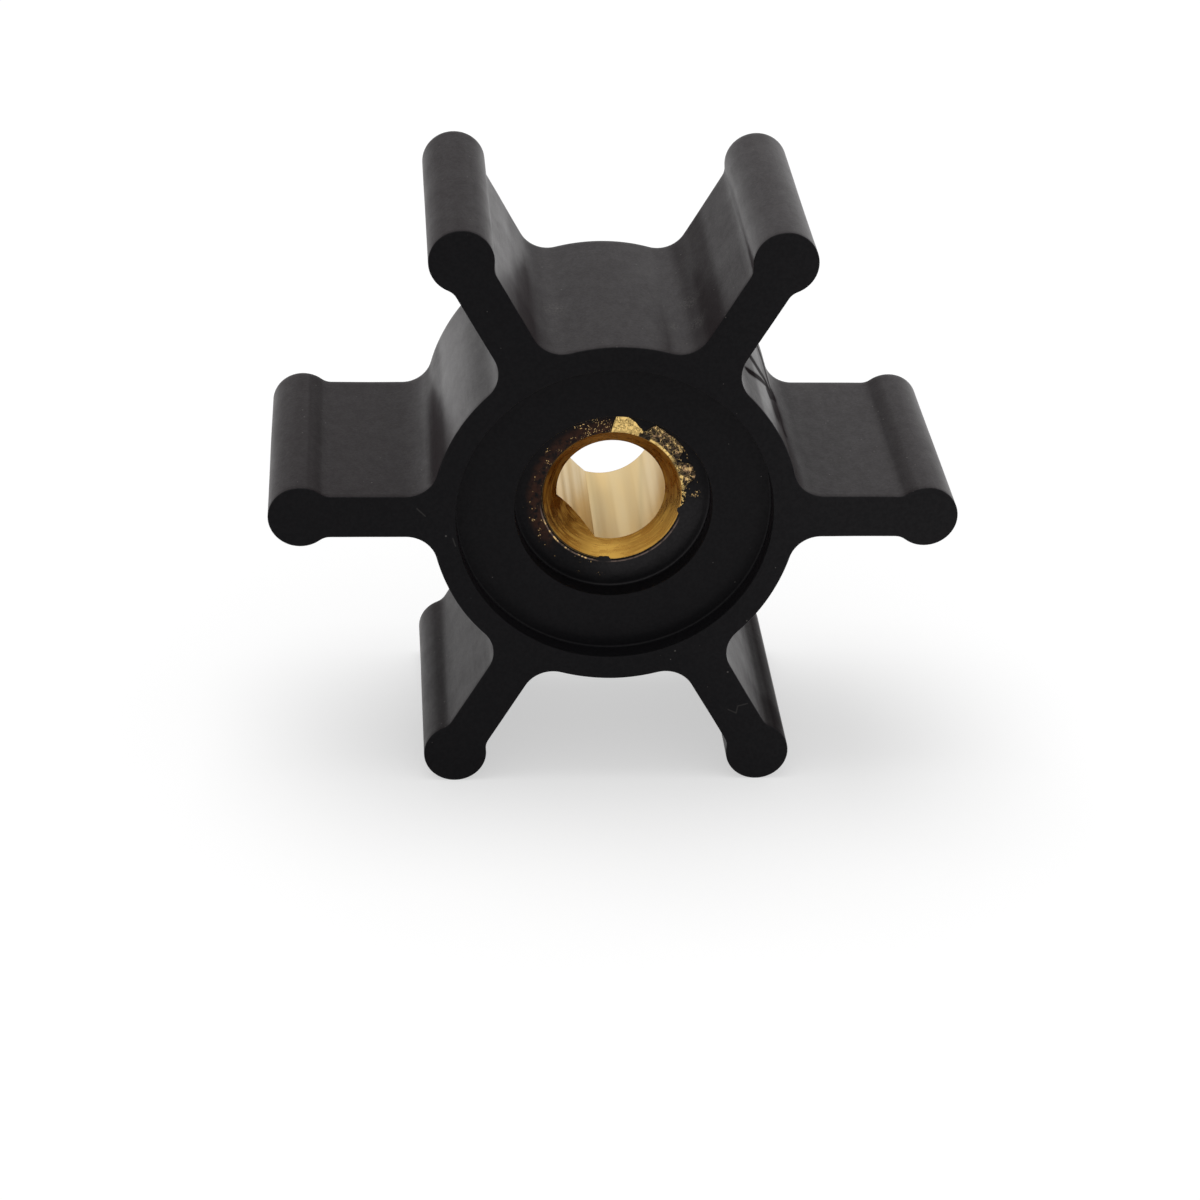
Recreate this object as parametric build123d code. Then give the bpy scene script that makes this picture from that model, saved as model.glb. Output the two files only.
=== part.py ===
from build123d import *
import math
import os

# Flexible pump impeller: a six-vaned rubber body moulded round a turned brass bush.
# Units are millimetres. The shaft axis lies along Y, with X to the right and Z up,
# and the origin is on that axis, half way along the width. The impeller stands on
# the tips of its two lower vanes. Both ends are alike.

# ---- Rubber body: outline seen along the shaft ----
OUTER_DIA = 50.0          # over the tips of two opposite vanes
WIDTH = 20.5              # from one end face to the other
HUB_DIA = 26.6
VANE_COUNT = 6
VANE_THICK = 3.2
TIP_BEAD_DIA = 4.65       # round bead along the tip of each vane
ROOT_FILLET = 2.3         # where a vane grows out of the hub
NECK_FILLET = 1.2         # where a vane swells into its bead

# ---- Rubber body: stepped recess in each end of the hub ----
RECESS_DIA = 23.0
RECESS_DEPTH = 1.6        # below the end face
POCKET_DIA = 14.4
POCKET_DEPTH = 1.65       # below the floor of the recess
FLOOR_BEVEL = 0.3         # in the corner round both floors

# ---- Rubber that wraps the bush ----
WRAP_THICK = 0.2          # film moulded over the end faces of the bush
WRAP_CLEARANCE = 0.12     # radial, between the mouth of the bush and the edge of the film
BOND_FILM = 0.02          # adhesive between brass and rubber, all round the bush

# ---- Brass bush ----
BUSH_DIA = 14.0
BUSH_CHAMFER = 0.5        # on the outer corner of both ends
BORE_DIA = 8.0            # for a D-shaped shaft
FLAT_DISTANCE = 3.3       # from the shaft axis to the flat of the bore
FLAT_ANGLE = 220.0        # way the flat lies from the axis, in degrees from +X towards +Z
MOUTH_DIA = 10.3          # of the countersink at the end face
COUNTERSINK_ANGLE = 90.0  # between opposite sides of the cone
FLUTE_COUNT = 8           # fine half-round flutes along the outside, to key it in the rubber
FLUTE_DIA = 0.9

# ---- Places that follow from the sizes ----
OVERCUT = 1.0             # how far a cutting shape runs past what it cuts
END_FACE = WIDTH / 2
RECESS_FLOOR = END_FACE - RECESS_DEPTH
POCKET_FLOOR = RECESS_FLOOR - POCKET_DEPTH
BUSH_END = POCKET_FLOOR - WRAP_THICK
TIP_RADIUS = TIP_BEAD_DIA / 2
TIP_CENTRE = OUTER_DIA / 2 - TIP_RADIUS
LOW_CORNER = (Align.MIN, Align.MIN)
SAME_POINT = 0.01         # corners closer than this are one corner


def corners_at(outline, radius):
    """Corners of a flat outline at this distance from the shaft axis."""
    return [v for v in outline.vertices() if abs(math.hypot(v.X, v.Y) - radius) < SAME_POINT]


def corner_at(section, radius, along):
    """The one corner of a half-section at this radius and place along the shaft."""
    return [v for v in section.vertices() if math.dist((v.X, v.Y), (radius, along)) < SAME_POINT]


def impeller_outline():
    """Hub and vanes seen along the shaft, with the first vane pointing to +X."""
    hub = Circle(HUB_DIA / 2)
    vane = Pos(TIP_CENTRE / 2, 0) * Rectangle(TIP_CENTRE, VANE_THICK)
    bead = Pos(TIP_CENTRE, 0) * Circle(TIP_RADIUS)
    outline = hub
    for turn in range(VANE_COUNT):
        outline += Rot(0, 0, turn * 360 / VANE_COUNT) * (vane + bead)
    outline = fillet(corners_at(outline, HUB_DIA / 2), ROOT_FILLET)
    neck_inset = math.sqrt(TIP_RADIUS**2 - (VANE_THICK / 2) ** 2)
    neck_radius = math.hypot(TIP_CENTRE - neck_inset, VANE_THICK / 2)
    return fillet(corners_at(outline, neck_radius), NECK_FILLET)


def ring_section(dia, low, high):
    """Half-section of a disc: radius along X, place along the shaft on Y."""
    return Pos(0, low) * Rectangle(dia / 2, high - low, align=LOW_CORNER)


def end_recess():
    """What is cut from the rear end: recess, pocket and the opening in the film."""
    wrap_hole_dia = MOUTH_DIA + 2 * WRAP_CLEARANCE
    section = ring_section(RECESS_DIA, RECESS_FLOOR, END_FACE + OVERCUT)
    section += ring_section(POCKET_DIA, POCKET_FLOOR, RECESS_FLOOR + OVERCUT)
    section = chamfer(corner_at(section, RECESS_DIA / 2, RECESS_FLOOR), FLOOR_BEVEL)
    section = chamfer(corner_at(section, POCKET_DIA / 2, POCKET_FLOOR), FLOOR_BEVEL)
    section += ring_section(wrap_hole_dia, BUSH_END - OVERCUT, POCKET_FLOOR + OVERCUT)
    return revolve(section, Axis.Y)


def bush_blank(grow):
    """Outer form of the bush, grown on every side: the turned bar with its flutes."""
    radius = BUSH_DIA / 2 + grow
    end = BUSH_END + grow
    section = ring_section(2 * radius, -end, end)
    for side in (-end, end):
        section = chamfer(corner_at(section, radius, side), BUSH_CHAMFER)
    flute = Circle(FLUTE_DIA / 2 - grow)
    flutes = Sketch() + PolarLocations(BUSH_DIA / 2, FLUTE_COUNT) * flute
    return revolve(section, Axis.Y) - extrude(Plane.XZ * flutes, end + OVERCUT, both=True)


def d_bore():
    """Shaft hole: a round bore with one flat."""
    flat_side = Pos(FLAT_DISTANCE, 0) * Rectangle(BORE_DIA, 2 * BORE_DIA,
                                                  align=(Align.MIN, Align.CENTER))
    outline = Circle(BORE_DIA / 2) - Rot(0, 0, FLAT_ANGLE) * flat_side
    return extrude(Plane.XZ * outline, BUSH_END + OVERCUT, both=True)


def countersink():
    """Cone that opens the rear end of the bore, down to its point on the axis."""
    slope = math.tan(math.radians(COUNTERSINK_ANGLE / 2))
    point = BUSH_END - MOUTH_DIA / 2 / slope
    wide = MOUTH_DIA / 2 + OVERCUT * slope
    section = make_face(Polyline((0, point), (wide, BUSH_END + OVERCUT),
                                 (0, BUSH_END + OVERCUT), close=True))
    return revolve(section, Axis.Y)


def both_ends(shape):
    """A shape for the rear end, and its mirror image at the front."""
    return [shape, mirror(shape, Plane.XZ)]


impeller_body = extrude(Plane.XZ * impeller_outline(), WIDTH / 2, both=True)
impeller_body -= both_ends(end_recess())
impeller_body -= bush_blank(BOND_FILM)

shaft_bush = bush_blank(0) - d_bore() - both_ends(countersink())

os.makedirs("parts", exist_ok=True)
export_step(impeller_body, "parts/impeller_body.step")
export_step(shaft_bush, "parts/shaft_bush.step")
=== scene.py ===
import math
from functools import cached_property, reduce

import bmesh
import bpy
import numpy as np
from mathutils import Euler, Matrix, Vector, noise


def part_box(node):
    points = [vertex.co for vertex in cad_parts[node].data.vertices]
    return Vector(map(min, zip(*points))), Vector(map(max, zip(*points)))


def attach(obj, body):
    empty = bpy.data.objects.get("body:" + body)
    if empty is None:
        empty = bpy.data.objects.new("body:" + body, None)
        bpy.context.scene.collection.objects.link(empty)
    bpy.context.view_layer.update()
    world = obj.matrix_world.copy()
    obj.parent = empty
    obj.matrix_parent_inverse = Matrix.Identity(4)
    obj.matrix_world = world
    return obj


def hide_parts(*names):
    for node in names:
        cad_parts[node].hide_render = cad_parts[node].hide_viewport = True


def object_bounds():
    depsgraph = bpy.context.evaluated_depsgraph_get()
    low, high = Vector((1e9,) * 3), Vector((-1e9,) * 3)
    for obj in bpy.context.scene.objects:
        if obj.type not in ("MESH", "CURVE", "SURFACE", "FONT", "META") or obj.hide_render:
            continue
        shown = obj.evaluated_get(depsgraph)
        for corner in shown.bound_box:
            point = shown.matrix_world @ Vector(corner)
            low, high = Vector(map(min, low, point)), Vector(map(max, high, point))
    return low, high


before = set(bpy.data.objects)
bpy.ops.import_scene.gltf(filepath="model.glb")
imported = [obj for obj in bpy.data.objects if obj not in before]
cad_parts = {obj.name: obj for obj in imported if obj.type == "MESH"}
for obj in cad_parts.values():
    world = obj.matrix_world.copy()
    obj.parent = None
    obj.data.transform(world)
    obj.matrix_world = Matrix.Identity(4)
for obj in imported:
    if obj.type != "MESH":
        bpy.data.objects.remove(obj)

MM = 0.001
TAU = 2 * math.pi
cad_low, cad_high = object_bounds()

# ---- Sizes of the rubber body, the same as the CAD model's ----
TIP_RADIUS = 4.65 / 2 * MM
OUTER_RADIUS = 25.0 * MM
HALF_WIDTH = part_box("impeller_body")[1][1]
HUB_RADIUS = 13.3 * MM
VANE_COUNT = 6
VANE_HALF = 1.6 * MM
ROOT_FILLET = 2.3 * MM
NECK_FILLET = 1.2 * MM
RECESS_RADIUS = 11.5 * MM
RECESS_FLOOR = HALF_WIDTH - 1.6 * MM
POCKET_RADIUS = 7.2 * MM
POCKET_FLOOR = RECESS_FLOOR - 1.65 * MM
FLOOR_CORNER = 0.14 * MM
BOND_FILM = 0.02 * MM

# ---- Sizes of the brass bush ----
BUSH_RADIUS = 7.0 * MM
BUSH_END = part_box("shaft_bush")[1][1]
BUSH_CHAMFER = 0.5 * MM
BORE_RADIUS = 4.0 * MM
FLAT_DISTANCE = 3.3 * MM
FLAT_ANGLE = math.radians(220)
MOUTH_RADIUS = 5.15 * MM
MOUTH_LIP = 0.04 * MM      # worn edge between the end face and the countersink
LIP_FALL = 0.4             # how far it falls, as a share of its width
FLUTE_COUNT = 8
FLUTE_RADIUS = 0.45 * MM

# ---- Wear of the rubber's surface ----
EDGE_ROUND = 0.10 * MM     # worn corner between the end faces and the flanks
WAVE_DEPTH = 0.05 * MM     # how far the skin of the flanks wanders
WAVE_RISE = 0.01 * MM      # how much of that may stand out beyond the CAD form
WAVE_SCALE = 170           # how many waves fit in a metre of the outline, about
WAVE_ALONG = 0.4           # how many fit along the shaft, as a share of that
WAVE_SEED = 3.0

# ---- How finely the meshes are made ----
OUTLINE_STEP = 0.26 * MM
SIDE_ROWS = 44
TURN_STEPS = 360
EDGE_ROWS = 4
CORNER_ROWS = 5
WALL_ROWS = 4
FLOOR_ROWS = 8
FILM_ROWS = 14
CONE_ROWS = 12
BORE_ROWS = 24
MERGE_DISTANCE = 1e-7
BODY_CREASE_ANGLE = 40     # degrees; sharper edges than these stay crisp
BUSH_CREASE_ANGLE = 28


# ------------------------------------------------------------------ mesh helpers
def arc(centre, radius, start, end):
    """Points along an arc, both ends included, as an array of (x, z)."""
    count = max(3, math.ceil(abs(end - start) * radius / OUTLINE_STEP))
    angles = np.linspace(start, end, count + 1)
    return np.stack([centre[0] + radius * np.cos(angles), centre[1] + radius * np.sin(angles)], 1)


def line(start, end):
    """Points along a straight stretch, without its ends."""
    count = max(2, math.ceil(math.dist(start, end) / OUTLINE_STEP))
    shares = np.linspace(0, 1, count + 1)[1:-1, None]
    return np.array(start) * (1 - shares) + np.array(end) * shares


def half_vane():
    """Upper half of one vane's outline, from mid gap on the hub to the middle of the tip."""
    tip_centre = OUTER_RADIUS - TIP_RADIUS
    root_x = math.sqrt((HUB_RADIUS + ROOT_FILLET) ** 2 - (VANE_HALF + ROOT_FILLET) ** 2)
    root = (root_x, VANE_HALF + ROOT_FILLET)
    neck_reach = math.sqrt((TIP_RADIUS + NECK_FILLET) ** 2 - (VANE_HALF + NECK_FILLET) ** 2)
    neck_x = tip_centre - neck_reach
    neck = (neck_x, VANE_HALF + NECK_FILLET)
    root_angle = math.atan2(root[1], root[0])
    neck_angle = math.atan2(neck[1], neck[0] - tip_centre)
    pieces = [
        arc((0, 0), HUB_RADIUS, math.pi / VANE_COUNT, root_angle),
        arc(root, ROOT_FILLET, root_angle + math.pi, 1.5 * math.pi)[1:],
        line((root_x, VANE_HALF), (neck_x, VANE_HALF)),
        arc(neck, NECK_FILLET, -0.5 * math.pi, neck_angle - math.pi),
        arc((tip_centre, 0), TIP_RADIUS, neck_angle, 0)[1:],
    ]
    return np.concatenate(pieces)


def impeller_outline():
    """The whole outline, counterclockwise from the first gap, and its outward normals."""
    upper = half_vane()
    lower = upper * [1, -1]
    vane = np.concatenate([lower, upper[::-1][1:]])[:-1]
    loops = []
    for turn in range(VANE_COUNT):
        a = turn * TAU / VANE_COUNT
        swing = np.array([[math.cos(a), math.sin(a)], [-math.sin(a), math.cos(a)]])
        loops.append(vane @ swing)
    points = np.concatenate(loops)
    along = np.roll(points, -1, 0) - np.roll(points, 1, 0)
    normals = np.stack([along[:, 1], -along[:, 0]], 1)
    return points, normals / np.linalg.norm(normals, axis=1)[:, None]


def grid_faces(rows, columns, first=0):
    """Quads of a grid whose rows are closed rings."""
    faces = []
    for r in range(rows - 1):
        a, b = first + r * columns, first + (r + 1) * columns
        for c in range(columns):
            d = (c + 1) % columns
            faces.append((a + c, a + d, b + d, b + c))
    return faces


def soft_noise(x, y, z, scale, seed):
    """Smooth noise about 0, with features of about 1 / scale in the unit of x, y and z."""
    return noise.noise(Vector((x * scale + seed, y * scale - seed, z * scale + 2 * seed)))


def new_object(name, vertices, faces, crease_angle):
    """A mesh object with smooth shading, its normals outward and its crisp edges kept."""
    mesh = bpy.data.meshes.new(name)
    mesh.from_pydata([tuple(v) for v in vertices], [], faces)
    bm = bmesh.new()
    bm.from_mesh(mesh)
    bmesh.ops.remove_doubles(bm, verts=bm.verts, dist=MERGE_DISTANCE)
    bmesh.ops.recalc_face_normals(bm, faces=bm.faces)
    bm.to_mesh(mesh)
    bm.free()
    shade(mesh, crease_angle)
    thing = bpy.data.objects.new(name, mesh)
    bpy.context.scene.collection.objects.link(thing)
    return thing


def shade(mesh, crease_angle):
    """Smooth shading, apart from edges sharper than this angle in degrees."""
    mesh.shade_smooth()
    mesh.set_sharp_from_angle(angle=math.radians(crease_angle))


# ------------------------------------------------------------------ rings about the shaft
FLAT_HALF_ANGLE = math.acos(FLAT_DISTANCE / BORE_RADIUS)
TURN_ANGLES = np.unique(np.concatenate([
    np.linspace(0, TAU, TURN_STEPS, endpoint=False),
    [FLAT_ANGLE - FLAT_HALF_ANGLE, FLAT_ANGLE + FLAT_HALF_ANGLE],
]))
TURN_COS, TURN_SIN = np.cos(TURN_ANGLES), np.sin(TURN_ANGLES)


def ring(radius, y):
    """One closed ring of points about the shaft; radius and y may change with the angle."""
    radius = np.broadcast_to(radius, TURN_ANGLES.shape)
    y = np.broadcast_to(y, TURN_ANGLES.shape)
    return np.stack([radius * TURN_COS, y, radius * TURN_SIN], 1)


def steps(start, end, count):
    """Values from start to end, both included."""
    return [start + (end - start) * i / count for i in range(count + 1)]


def flute_limit(grow=0.0):
    """How far out the bush reaches at each angle, between and in its flutes."""
    pitch = TAU / FLUTE_COUNT
    off = (TURN_ANGLES + pitch / 2) % pitch - pitch / 2
    reach = BUSH_RADIUS * np.cos(off)
    inside = (FLUTE_RADIUS - grow) ** 2 - (BUSH_RADIUS * np.sin(off)) ** 2
    flute = reach - np.sqrt(np.maximum(inside, 0))
    return np.where(inside > 0, np.minimum(flute, BUSH_RADIUS + grow), BUSH_RADIUS + grow)


def ragged(amount, scale, seed):
    """Uneven offsets for each angle of a ring."""
    turns = zip(TURN_COS, TURN_SIN)
    return np.array([amount * soft_noise(c, s, 0, scale, seed) for c, s in turns])


# ------------------------------------------------------------------ rubber body
FILM_THICK = POCKET_FLOOR - BUSH_END
FILM_THIN = 0.06 * MM       # thickness at the film's edge
FILM_TAPER = 0.45           # share of the film's width over which it thins
FILM_LUMPS = 0.012 * MM
FILM_RADIUS = 5.20 * MM
FLUTE_COVER = 0.05 * MM     # rubber kept between the film's edge and a flute
EDGE_WANDER = 0.04 * MM     # slow waves along the film's edge
EDGE_ROUGH = 0.03 * MM      # fine ones where it is whole
TEAR_ROUGH = 0.10 * MM      # and what a tear adds to them
TEAR_FULL = 0.5 * MM        # depth of a tear that is rough in full

# Where the film on the front end has torn away, or bulges into the mouth of the bush. Each
# stretch leaves the film's plain edge at the first angle, has its own radius from the second
# to the third, and is back at the fourth. Degrees are from +X towards +Z.
TEARS = {
    "notch of rubber at the bottom": (-101.5, -98.5, -91, -88.5, 4.90 * MM),
    "tongue of rubber on the right": (-16, -13.5, -11, -8.5, 4.94 * MM),
    "sliver on the right": (-8, -5, 5, 8, 5.42 * MM),
    "lower pitted patch": (7, 14, 25, 33, 6.27 * MM),
    "upper pitted patch": (30, 37, 62, 70, 6.45 * MM),
    "bare wedge at the top": (60, 81, 89, 92.5, 6.45 * MM),
}


def film_edge(side):
    """Radius of the film's opening at each angle of one end."""
    torn, spread = np.zeros_like(TURN_ANGLES), np.zeros_like(TURN_ANGLES)
    degrees = (np.degrees(TURN_ANGLES) + 180) % 360 - 180
    if side < 0:
        for *corners, reach in TEARS.values():
            shift = (reach - FILM_RADIUS) * np.interp(degrees, corners, (0, 1, 1, 0))
            torn, spread = np.maximum(torn, shift), np.minimum(spread, shift)
    edge = FILM_RADIUS + torn + spread
    rough = EDGE_ROUGH + TEAR_ROUGH * np.clip(torn / TEAR_FULL, 0, 1)
    edge = edge + ragged(EDGE_WANDER, scale=9, seed=4.0) + rough * ragged(1, scale=26, seed=7.0)
    return np.minimum(edge, np.minimum(flute_limit(), BUSH_RADIUS - BUSH_CHAMFER) - FLUTE_COVER)


def rounded_step(radius, top, floor):
    """Rings down one step of the hub's recess: worn rim, wall and rounded floor corner."""
    rows = [ring(radius + 2 * EDGE_ROUND, top)]
    for a in steps(0, math.pi / 2, EDGE_ROWS):
        out, down = EDGE_ROUND * (1 - math.sin(a)), EDGE_ROUND * (1 - math.cos(a))
        rows.append(ring(radius + out, top - down))
    for y in steps(top - EDGE_ROUND, floor + FLOOR_CORNER, WALL_ROWS)[1:-1]:
        rows.append(ring(radius, y))
    for a in steps(0, math.pi / 2, CORNER_ROWS):
        inset, up = FLOOR_CORNER * (1 - math.cos(a)), FLOOR_CORNER * (1 - math.sin(a))
        rows.append(ring(radius - inset, floor + up))
    return rows


def hub_rings(side):
    """Rings of one end's recess, from the rim on the end face to the bush's outer wall."""
    rows = rounded_step(RECESS_RADIUS, HALF_WIDTH, RECESS_FLOOR)
    for r in steps(RECESS_RADIUS - FLOOR_CORNER, POCKET_RADIUS + 2 * EDGE_ROUND, FLOOR_ROWS)[1:-1]:
        rows.append(ring(r, RECESS_FLOOR))
    rows += rounded_step(POCKET_RADIUS, RECESS_FLOOR, POCKET_FLOOR)
    edge = film_edge(side)
    start = POCKET_RADIUS - FLOOR_CORNER
    for t in steps(0, 1, FILM_ROWS)[1:]:
        thinned = (FILM_THICK - FILM_THIN) * max(0.0, (t - (1 - FILM_TAPER)) / FILM_TAPER) ** 2
        lumps = ragged(FILM_LUMPS, scale=6 + 8 * t, seed=11 * t) * min(1, 4 * t)
        rows.append(ring(start + (edge - start) * t, POCKET_FLOOR - thinned + lumps))
    under = BUSH_END + BOND_FILM
    limit = flute_limit(BOND_FILM)
    rows.append(ring(edge, under))
    rows.append(ring(np.minimum(BUSH_RADIUS - BUSH_CHAMFER + BOND_FILM, limit), under))
    rows.append(ring(limit, under - BUSH_CHAMFER))
    return [row * [1, side, 1] for row in rows]


def flank_rings():
    """Rings round the outline of hub and vanes, from the front end face to the rear one."""
    points, normals = impeller_outline()
    corner = [(EDGE_ROUND * (1 - math.cos(a)), HALF_WIDTH - EDGE_ROUND * (1 - math.sin(a)))
              for a in steps(0, math.pi / 2, EDGE_ROWS)]
    corner.append((EDGE_ROUND * 2, HALF_WIDTH))
    levels = [(inset, -y) for inset, y in corner[::-1]]
    for y in steps(EDGE_ROUND - HALF_WIDTH, HALF_WIDTH - EDGE_ROUND, SIDE_ROWS)[1:-1]:
        levels.append((0, y))
    levels += corner
    rows = []
    for inset, y in levels:
        flat = points - normals * inset
        wave = [soft_noise(x, WAVE_ALONG * y, z, WAVE_SCALE, WAVE_SEED) for x, z in flat]
        flat = flat + normals * np.minimum(np.array(wave) * WAVE_DEPTH, WAVE_RISE)[:, None]
        rows.append(np.stack([flat[:, 0], np.full(len(flat), y), flat[:, 1]], 1))
    return rows


def cap(mesh, level):
    """Fills the flat ring of the end face at this level, between its open edges."""
    bm = bmesh.new()
    bm.from_mesh(mesh)
    rim = []
    for edge in bm.edges:
        if edge.is_boundary and all(abs(v.co.y - level) < MERGE_DISTANCE for v in edge.verts):
            rim.append(edge)
    bmesh.ops.triangle_fill(bm, edges=rim, use_beauty=True)
    bmesh.ops.recalc_face_normals(bm, faces=bm.faces)
    bm.to_mesh(mesh)
    bm.free()


def make_rubber_body():
    flank = flank_rings()
    hub = hub_rings(-1) + hub_rings(1)[::-1]
    vertices = np.concatenate(flank + hub)
    faces = grid_faces(len(flank), len(flank[0]))
    faces += grid_faces(len(hub), len(TURN_ANGLES), first=len(flank) * len(flank[0]))
    body = new_object("rubber_body", vertices, faces, BODY_CREASE_ANGLE)
    for level in (-HALF_WIDTH, HALF_WIDTH):
        cap(body.data, level)
    shade(body.data, BODY_CREASE_ANGLE)
    return body


# ------------------------------------------------------------------ brass bush
def bore_radius():
    """Radius of the D-shaped bore at each angle."""
    facing_flat = np.cos(TURN_ANGLES - FLAT_ANGLE)
    return FLAT_DISTANCE / np.maximum(facing_flat, FLAT_DISTANCE / BORE_RADIUS)


def bush_end_rings(bore):
    """Rings of one end, from the outer wall over the end face and down the countersink."""
    limit = flute_limit()
    rows = [ring(limit, BUSH_END - BUSH_CHAMFER)]
    for r in steps(BUSH_RADIUS - BUSH_CHAMFER, MOUTH_RADIUS, FLOOR_ROWS)[:-1]:
        rows.append(ring(np.minimum(r, limit), BUSH_END))
    rows.append(ring(MOUTH_RADIUS + MOUTH_LIP, BUSH_END))
    rows.append(ring(MOUTH_RADIUS, BUSH_END - LIP_FALL * MOUTH_LIP))
    for t in steps(0, 1, CONE_ROWS)[1:]:
        r = MOUTH_RADIUS + (bore - MOUTH_RADIUS) * t
        rows.append(ring(r, BUSH_END - (MOUTH_RADIUS - r)))
    return rows


def make_brass_bush():
    bore = bore_radius()
    front = [row * [1, -1, 1] for row in bush_end_rings(bore)]
    rear = bush_end_rings(bore)[::-1]
    bore_end = BUSH_END - (MOUTH_RADIUS - bore)
    middle = [ring(bore, bore_end * share) for share in steps(-1, 1, BORE_ROWS)[1:-1]]
    rows = front + middle + rear
    rows.append(rows[0])
    faces = grid_faces(len(rows), len(TURN_ANGLES))
    return new_object("brass_bush", np.concatenate(rows), faces, BUSH_CREASE_ANGLE)


# ------------------------------------------------------------------ shader nodes
MIX_SHARE, MIX_FROM, MIX_TO, MIX_RESULT = 0, 6, 7, 2    # sockets of a Mix node set to colours
MARK_CORE = 0.4             # share of a mark's reach that is marked in full
SPOT_CORE = 0.35            # the same for a round spot
VEIN_WANDER = 1.3           # how finely veins wander, against the size of their net


class Shader:
    """The nodes of one material, made and joined in a line or two each.

    Marks (columns, spots, strokes and paths) are given in millimetres.
    """

    def __init__(self, name):
        self.material = bpy.data.materials.new(name)
        self.material.use_nodes = True
        self.tree = self.material.node_tree
        self.surface = self.tree.nodes["Principled BSDF"].inputs
        self.place = self.add("ShaderNodeTexCoord").outputs["Object"]
        self.x, self.y, self.z = self.add("ShaderNodeSeparateXYZ", {"Vector": self.place}).outputs
        squares = self.plus(self.times(self.x, self.x), self.times(self.z, self.z))
        self.radius = self.math("SQRT", squares)
        self.angle = self.math("ARCTAN2", self.z, self.x)
        self.height = self.math("ABSOLUTE", self.y)     # above the middle plane, towards either end

    @cached_property
    def flat_place(self):
        """The place on the object, moved along the shaft to the middle plane."""
        return self.vector("MULTIPLY", self.place, (1, 0, 1))

    def add(self, kind, inputs=None, **settings):
        """A new node with these settings, and with values or other nodes' outputs on its inputs."""
        node = self.tree.nodes.new(kind)
        for key, value in settings.items():
            setattr(node, key, value)
        for key, value in (inputs or {}).items():
            self.feed(node.inputs[key], value)
        return node

    def feed(self, socket, value):
        """Joins another node's output to this input, or sets the input's own value."""
        if isinstance(value, bpy.types.NodeSocket):
            self.tree.links.new(value, socket)
        elif socket.type == "RGBA":
            socket.default_value = (*value, 1)
        else:
            socket.default_value = value

    def math(self, operation, *values):
        return self.add("ShaderNodeMath", dict(enumerate(values)), operation=operation).outputs[0]

    def vector(self, operation, *values):
        """Vector arithmetic; DISTANCE and DOT_PRODUCT give a number."""
        node = self.add("ShaderNodeVectorMath", dict(enumerate(values)), operation=operation)
        return node.outputs["Value" if operation in ("DISTANCE", "DOT_PRODUCT") else "Vector"]

    def times(self, *values):
        return reduce(lambda a, b: self.math("MULTIPLY", a, b), values)

    def plus(self, *values):
        return reduce(lambda a, b: self.math("ADD", a, b), values)

    def larger(self, *values):
        return reduce(lambda a, b: self.math("MAXIMUM", a, b), values)

    def without(self, mask):
        """1 where the mask is 0, and 0 where it is 1."""
        return self.math("SUBTRACT", 1.0, mask)

    def rise(self, value, low, high, start=0.0, end=1.0):
        """Goes smoothly from start to end while value goes from low to high."""
        inputs = {"Value": value, "From Min": low, "From Max": high, "To Min": start, "To Max": end}
        node = self.add("ShaderNodeMapRange", inputs, interpolation_type="SMOOTHSTEP")
        return node.outputs["Result"]

    def fall(self, value, low, high):
        """Goes smoothly from 1 to 0 while value goes from low to high."""
        return self.rise(value, low, high, 1, 0)

    def where(self, mask, inside, outside=1.0):
        """One value where the mask is 1, and another where it is 0."""
        return self.rise(mask, 0, 1, outside, inside)

    def band(self, value, low, high, soft):
        """1 between low and high, 0 outside."""
        above = self.rise(value, low - soft, low + soft)
        return self.times(above, self.fall(value, high - soft, high + soft))

    def near_angle(self, direction, half_width, soft, lean=0.0):
        """1 within half_width degrees of a direction about the shaft, 0 elsewhere."""
        turned = self.plus(self.angle, lean, math.pi - math.radians(direction))
        off = self.plus(self.math("FLOORED_MODULO", turned, TAU), -math.pi)
        low, high = math.radians(half_width - soft), math.radians(half_width + soft)
        return self.fall(self.math("ABSOLUTE", off), low, high)

    def scaled_place(self, size, shift=(0, 0, 0), stretch=(1, 1, 1)):
        """The place on the object, counted in steps of this size, and shifted."""
        scale = [share / size for share in stretch]
        inputs = {"Vector": self.place, "Location": shift, "Scale": scale}
        return self.add("ShaderNodeMapping", inputs).outputs["Vector"]

    def noise(self, size, detail=2.0, roughness=0.5, stretch=(1, 1, 1), shift=0.0):
        """Noise with features of this size in metres."""
        place = self.scaled_place(size, (shift, 2 * shift, 3 * shift), stretch)
        inputs = {"Vector": place, "Scale": 1.0, "Detail": detail, "Roughness": roughness}
        return self.add("ShaderNodeTexNoise", inputs).outputs["Fac"]

    def turned(self, across, along, detail=3.0, shift=0.0):
        """Noise drawn out round the shaft; its sizes are along a radius and round the bore."""
        reach = BORE_RADIUS / along
        round_x = self.times(self.math("DIVIDE", self.x, self.radius), reach)
        round_z = self.times(self.math("DIVIDE", self.z, self.radius), reach)
        inputs = {"X": self.times(self.radius, 1 / across), "Y": round_x,
                  "Z": self.plus(round_z, shift)}
        place = self.add("ShaderNodeCombineXYZ", inputs).outputs["Vector"]
        inputs = {"Vector": place, "Scale": 1.0, "Detail": detail}
        return self.add("ShaderNodeTexNoise", inputs).outputs["Fac"]

    def fade(self, away, reach, core=MARK_CORE):
        """1 in the core of a mark, 0 at its reach and beyond."""
        return self.fall(away, core * reach, reach)

    def specks(self, spacing, radius, shift):
        """Scattered dots: 1 at the middle of each, 0 from radius outwards."""
        inputs = {"Vector": self.scaled_place(spacing, [shift] * 3), "Scale": 1.0}
        node = self.add("ShaderNodeTexVoronoi", inputs)
        return self.fade(node.outputs["Distance"], radius / spacing)

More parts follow.
